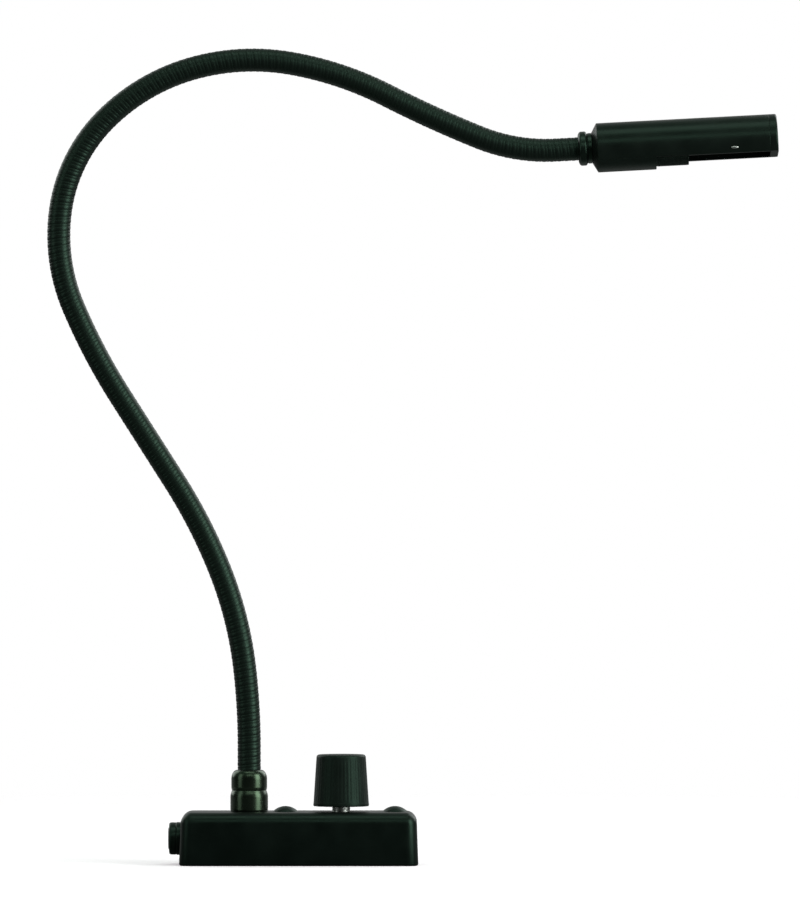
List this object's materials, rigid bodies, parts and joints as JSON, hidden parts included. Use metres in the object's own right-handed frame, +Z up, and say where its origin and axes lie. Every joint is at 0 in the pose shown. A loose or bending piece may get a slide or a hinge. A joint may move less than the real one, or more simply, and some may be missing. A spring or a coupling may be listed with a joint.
{
  "type": "gooseneck lamp",
  "caption": "Small black gooseneck lamp: low box base with a dimmer knob, a wound flexible neck and a slim round hood that swivels, with a shutter inside.",
  "frame": {"origin": "centre of the base's underside", "axes": "+Z up, +X along the base towards the dimmer knob and along the hood, -Y towards the front"},
  "size_m": [0.2757, 0.032, 0.3078],
  "materials": {
    "case_black": "matte",
    "plate_black": "matte",
    "screw_black": "satin",
    "bright_metal": "satin",
    "board_green": "matte",
    "component_black": "matte",
    "capacitor_blue": "gloss",
    "dimmer_grey": "matte",
    "knob_black": "satin",
    "ferrule_gloss": "gloss",
    "jack_black": "satin",
    "contact_metal": "satin",
    "wire_red": "matte",
    "neck_black": "satin",
    "lead_black": "matte",
    "hood_black": "satin",
    "shutter_black": "satin",
    "socket_white": "satin",
    "bulb_clear": "gloss",
    "filament_grey": "satin"
  },
  "bodies": {
    "base": {"base_case": "case_black", "base_plate": "plate_black", "case_screws": "screw_black", "board_spacers": "bright_metal", "circuit_board": "board_green", "power_transistor": "component_black", "filter_capacitor": "capacitor_blue", "dimmer_body": "dimmer_grey", "dimmer_bushing": "bright_metal", "neck_bushing": "ferrule_gloss", "neck_washer": "bright_metal", "neck_nut": "bright_metal", "neck_ferrule": "ferrule_gloss", "jack_body": "component_black", "jack_nut": "jack_black", "jack_pin": "contact_metal", "jack_tabs": "contact_metal", "supply_wires": "wire_red", "neck_section_1": "neck_black", "lamp_lead_1": "lead_black"},
    "dimmer": {"dimmer_knob": "knob_black", "dimmer_shaft": "bright_metal"},
    "neck_2": {"neck_section_2": "neck_black", "lamp_lead_2": "lead_black"},
    "neck_3": {"neck_section_3": "neck_black", "lamp_lead_3": "lead_black"},
    "neck_4": {"neck_section_4": "neck_black", "lamp_lead_4": "lead_black"},
    "neck_5": {"neck_section_5": "neck_black", "lamp_lead_5": "lead_black"},
    "neck_6": {"neck_section_6": "neck_black", "lamp_lead_6": "lead_black"},
    "neck_7": {"neck_section_7": "neck_black", "lamp_lead_7": "lead_black"},
    "neck_8": {"neck_section_8": "neck_black", "lamp_lead_8": "lead_black"},
    "neck_9": {"neck_section_9": "neck_black", "lamp_lead_9": "lead_black"},
    "neck_10": {"neck_section_10": "neck_black", "lamp_lead_10": "lead_black"},
    "neck_11": {"neck_section_11": "neck_black", "lamp_lead_11": "lead_black"},
    "neck_12": {"neck_section_12": "neck_black", "lamp_lead_12": "lead_black", "hood_ferrule": "ferrule_gloss", "swivel_clip": "bright_metal"},
    "hood": {"socket_housing": "hood_black", "hood_shell": "hood_black", "hood_end_cap": "hood_black", "stop_pin": "bright_metal", "lamp_socket": "socket_white", "socket_contacts": "contact_metal", "bulb_base": "socket_white", "bulb_glass": "bulb_clear", "filament": "filament_grey"},
    "shutter": {"shutter": "shutter_black"}
  },
  "joints": [
    {"name": "dimmer_turn", "type": "hinge", "parent": "base", "child": "dimmer", "pos_m": [0.0159, 0, 0.02], "axis": [0, 0, -1], "range_deg": [-140, 140]},
    {"name": "neck_bend_1", "type": "hinge", "parent": "base", "child": "neck_2", "pos_m": [-0.02047, 0, 0.07374], "axis": [0.001, 1, 0.0001], "range_deg": [-29, 35]},
    {"name": "neck_bend_2", "type": "hinge", "parent": "neck_2", "child": "neck_3", "pos_m": [-0.02966, 0, 0.1106], "axis": [0.9304, 0, 0.3665], "range_deg": [-35, 35]},
    {"name": "neck_bend_3", "type": "hinge", "parent": "neck_3", "child": "neck_4", "pos_m": [-0.04693, 0, 0.14449], "axis": [0.0008, 1, 0.0005], "range_deg": [-34, 35]},
    {"name": "neck_bend_4", "type": "hinge", "parent": "neck_4", "child": "neck_5", "pos_m": [-0.0674, 0, 0.17663], "axis": [0.8434, 0, 0.5373], "range_deg": [-35, 35]},
    {"name": "neck_bend_5", "type": "hinge", "parent": "neck_5", "child": "neck_6", "pos_m": [-0.08512, 0, 0.21031], "axis": [0.0009, 1, 0.0004], "range_deg": [-35, 19]},
    {"name": "neck_bend_6", "type": "hinge", "parent": "neck_6", "child": "neck_7", "pos_m": [-0.08987, 0, 0.24763], "axis": [-0.989, 0, 0.1478], "range_deg": [-21, 21]},
    {"name": "neck_bend_7", "type": "hinge", "parent": "neck_7", "child": "neck_8", "pos_m": [-0.07301, 0, 0.28108], "axis": [0.0007, 1, -0.0007], "range_deg": [-35, 7]},
    {"name": "neck_bend_8", "type": "hinge", "parent": "neck_8", "child": "neck_9", "pos_m": [-0.04053, 0, 0.30021], "axis": [0.2756, 0, -0.9613], "range_deg": [-29, 29]},
    {"name": "neck_bend_9", "type": "hinge", "parent": "neck_9", "child": "neck_10", "pos_m": [-0.00281, 0, 0.30219], "axis": [-0.0002, 1, -0.001], "range_deg": [-35, 18]},
    {"name": "neck_bend_10", "type": "hinge", "parent": "neck_10", "child": "neck_11", "pos_m": [0.03319, 0, 0.29014], "axis": [0.454, 0, 0.891], "range_deg": [-35, 35]},
    {"name": "neck_bend_11", "type": "hinge", "parent": "neck_11", "child": "neck_12", "pos_m": [0.06785, 0, 0.27435], "axis": [-0.0004, 1, -0.0009], "range_deg": [-25, 35]},
    {"name": "hood_swivel", "type": "hinge", "parent": "neck_12", "child": "hood", "pos_m": [0.11429, 0, 0.27044], "axis": [0.9986, 0, 0.0523], "range_deg": [-165, 165]},
    {"name": "shutter_turn", "type": "hinge", "parent": "hood", "child": "shutter", "pos_m": [0.14125, 0, 0.27185], "axis": [-0.9986, 0, -0.0523], "range_deg": [0, 125]}
  ]
}
